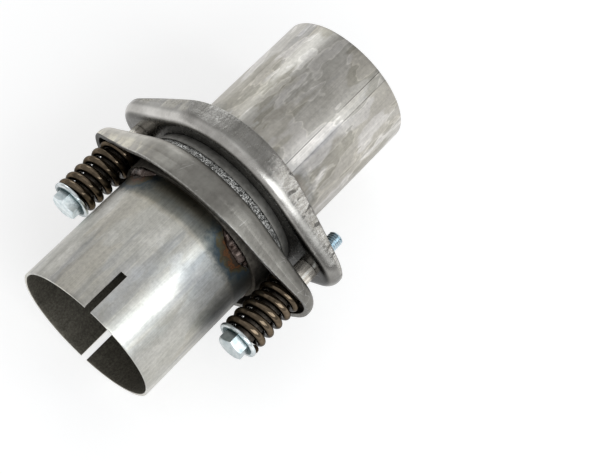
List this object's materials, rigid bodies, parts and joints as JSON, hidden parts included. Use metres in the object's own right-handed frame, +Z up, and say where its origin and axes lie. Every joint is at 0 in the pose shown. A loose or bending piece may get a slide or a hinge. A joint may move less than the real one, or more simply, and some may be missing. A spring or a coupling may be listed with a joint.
{
  "type": "steel expansion joint",
  "caption": "Spring-bolted ball joint that links two round steel exhaust pipes, with a slotted clamp socket at one end and a plain spigot at the other.",
  "frame": {"origin": "on the pipe axis, midway between the two flange faces", "axes": "+X along the pipe axis towards the plain spigot end, +Y towards the left bolt, +Z up"},
  "size_m": [0.1874, 0.1398, 0.1038],
  "materials": {
    "pipe_steel": "satin mill finish with soft streaks along the pipe and a heat tint by the welds",
    "pressed_steel": "dull pressed steel with draw marks",
    "weld_metal": "rippled bead with a brown and blue tint",
    "wire_mesh": "compressed knitted wire, sparkling",
    "dark_steel": "dark grey, smooth",
    "zinc_plate": "bright blue-white zinc",
    "spring_steel": "dark bronze oiled wire",
    "turned_steel": "plain bright steel"
  },
  "bodies": {
    "spigot_side": {"spigot_pipe": "pipe_steel", "spigot_flange": "pressed_steel", "spigot_welds": "weld_metal", "seat_cup": "dark_steel", "bolt_left": "zinc_plate", "bolt_right": "zinc_plate", "washer_left": "zinc_plate", "washer_right": "zinc_plate", "sleeve_left": "turned_steel", "sleeve_right": "turned_steel", "nut_left": "turned_steel", "nut_right": "turned_steel"},
    "springs": {"spring_left": "spring_steel", "spring_right": "spring_steel"},
    "seal": {"seal_ring": "wire_mesh"},
    "socket_side": {"socket_pipe": "pipe_steel", "socket_flange": "pressed_steel", "socket_welds": "weld_metal"}
  },
  "joints": [
    {"name": "tilt_about_bolt_line", "type": "hinge", "parent": "spigot_side", "child": "springs", "pos_m": [-0.03, 0, 0], "axis": [0, 1, 0], "range_deg": [-2, 2]},
    {"name": "tilt_towards_bolts", "type": "hinge", "parent": "springs", "child": "seal", "pos_m": [-0.03, 0, 0], "axis": [0, 0, 1], "range_deg": [-2, 2], "stiffness_Nm_per_rad": 600},
    {"name": "pull_out", "type": "slide", "parent": "seal", "child": "socket_side", "axis": [-1, 0, 0], "range_m": [0, 0.005], "stiffness_N_per_m": 205000, "springref_m": -0.003, "deforming": ["spring_left", "spring_right"]}
  ]
}
